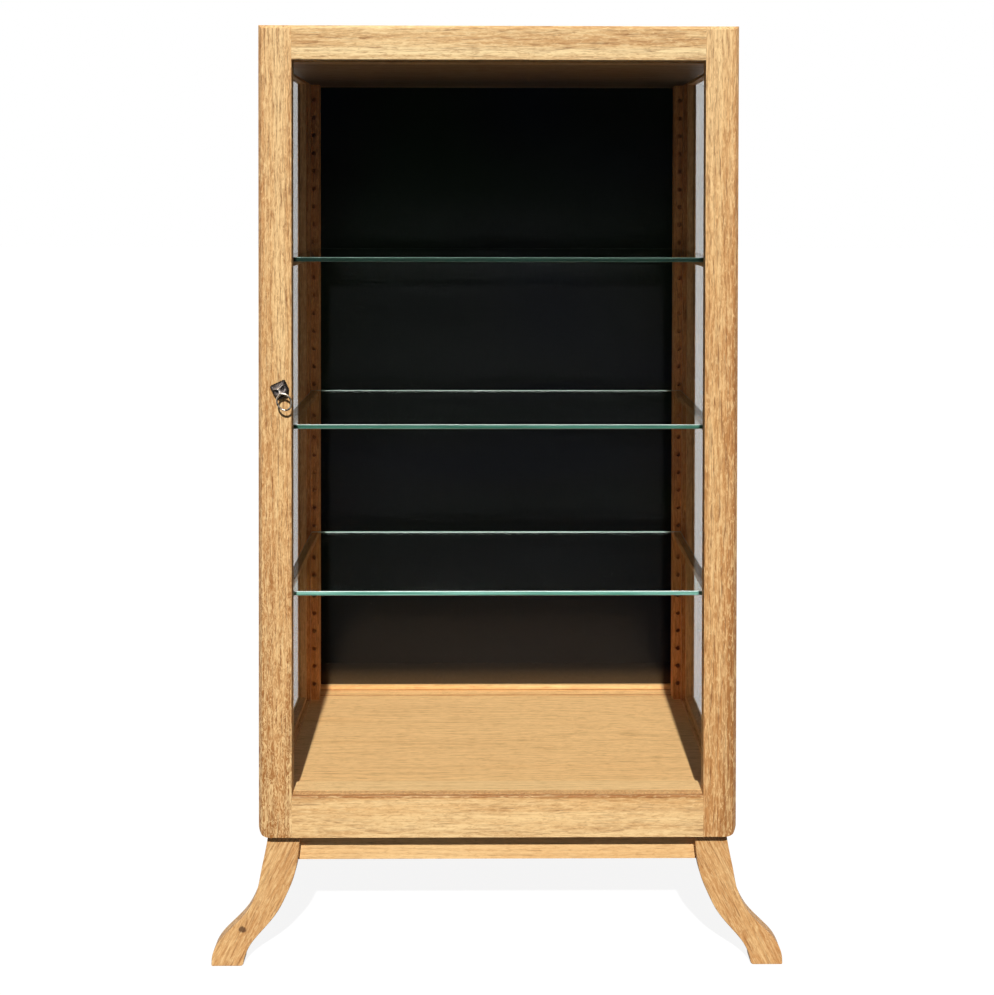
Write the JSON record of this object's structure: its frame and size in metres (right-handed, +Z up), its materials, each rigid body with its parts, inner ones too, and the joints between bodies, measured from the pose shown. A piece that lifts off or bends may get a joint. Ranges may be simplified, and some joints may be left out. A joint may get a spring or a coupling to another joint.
{
  "type": "display cabinet",
  "caption": "Tall oak display cabinet with glass sides, a black back, glass shelves on pegged cleats, a framed glass door with a lion mask ring pull, and swept legs.",
  "frame": {"origin": "centre of the footprint on the floor, midway between the pull's muzzle and the case back", "axes": "+Z up, the door faces -Y, +X to the right of a viewer who faces the door"},
  "size_m": [1.04, 0.532, 1.705],
  "materials": {
    "oak": "waxed light oak",
    "black_paint": "gloss black paint",
    "pane_glass": "clear window glass",
    "shelf_glass": "clear glass with green polished edges",
    "brass": "aged brass",
    "bronze": "dark antique bronze",
    "steel": "plain steel",
    "magnet": "dark steel"
  },
  "bodies": {
    "case": {"apron_front": "oak", "apron_left": "oak", "apron_rear": "oak", "apron_right": "oak", "back_panel": "black_paint", "case_screws": "steel", "catch_magnets": "magnet", "ceiling_board": "oak", "floor_bearers": "oak", "floor_board": "oak", "floor_fillet_rear": "oak", "front_rail_bottom": "oak", "front_rail_top": "oak", "hinge_case_leaves": "brass", "hinge_case_screws": "brass", "hinge_pins": "brass", "leg_front_left": "oak", "leg_front_right": "oak", "leg_rear_left": "oak", "leg_rear_right": "oak", "peg_strip_front_left": "oak", "peg_strip_front_right": "oak", "peg_strip_rear_left": "oak", "peg_strip_rear_right": "oak", "rear_rail_bottom": "oak", "rear_rail_top": "oak", "shelf_cleats": "oak", "shelf_pegs": "oak", "side_beads_left": "oak", "side_beads_right": "oak", "side_glass_left": "pane_glass", "side_glass_right": "pane_glass", "side_rail_bottom_left": "oak", "side_rail_bottom_right": "oak", "side_rail_top_left": "oak", "side_rail_top_right": "oak", "side_stile_front_left": "oak", "side_stile_front_right": "oak", "side_stile_rear_left": "oak", "side_stile_rear_right": "oak", "stand_corner_blocks": "oak", "stand_screws": "steel", "top_board": "oak"},
    "door": {"catch_strike_screws": "steel", "catch_strikes": "steel", "door_beads": "oak", "door_glass": "pane_glass", "door_rail_bottom": "oak", "door_rail_top": "oak", "door_stile_left": "oak", "door_stile_right": "oak", "handle_bolt": "steel", "handle_mask": "bronze", "handle_nut": "steel", "hinge_door_leaves": "brass", "hinge_door_screws": "brass"},
    "pull_ring": {"handle_ring": "bronze"},
    "shelf_upper": {"glass_shelf_upper": "shelf_glass"},
    "shelf_middle": {"glass_shelf_middle": "shelf_glass"},
    "shelf_lower": {"glass_shelf_lower": "shelf_glass"}
  },
  "joints": [
    {"name": "door_swing", "type": "hinge", "parent": "case", "child": "door", "pos_m": [0.43, -0.2215, 0.974], "axis": [0, 0, 1], "range_deg": [0, 170]},
    {"name": "ring_swing", "type": "hinge", "parent": "door", "child": "pull_ring", "pos_m": [-0.38668, -0.2605, 1.04801], "axis": [-0.9063, 0, -0.4226], "range_deg": [-15, 100]},
    {"name": "shelf_upper_lift", "type": "slide", "parent": "case", "child": "shelf_upper", "axis": [0, 0, 1], "range_m": [0, 0.25]},
    {"name": "shelf_middle_lift", "type": "slide", "parent": "case", "child": "shelf_middle", "axis": [0, 0, 1], "range_m": [0, 0.25]},
    {"name": "shelf_lower_lift", "type": "slide", "parent": "case", "child": "shelf_lower", "axis": [0, 0, 1], "range_m": [0, 0.25]}
  ]
}
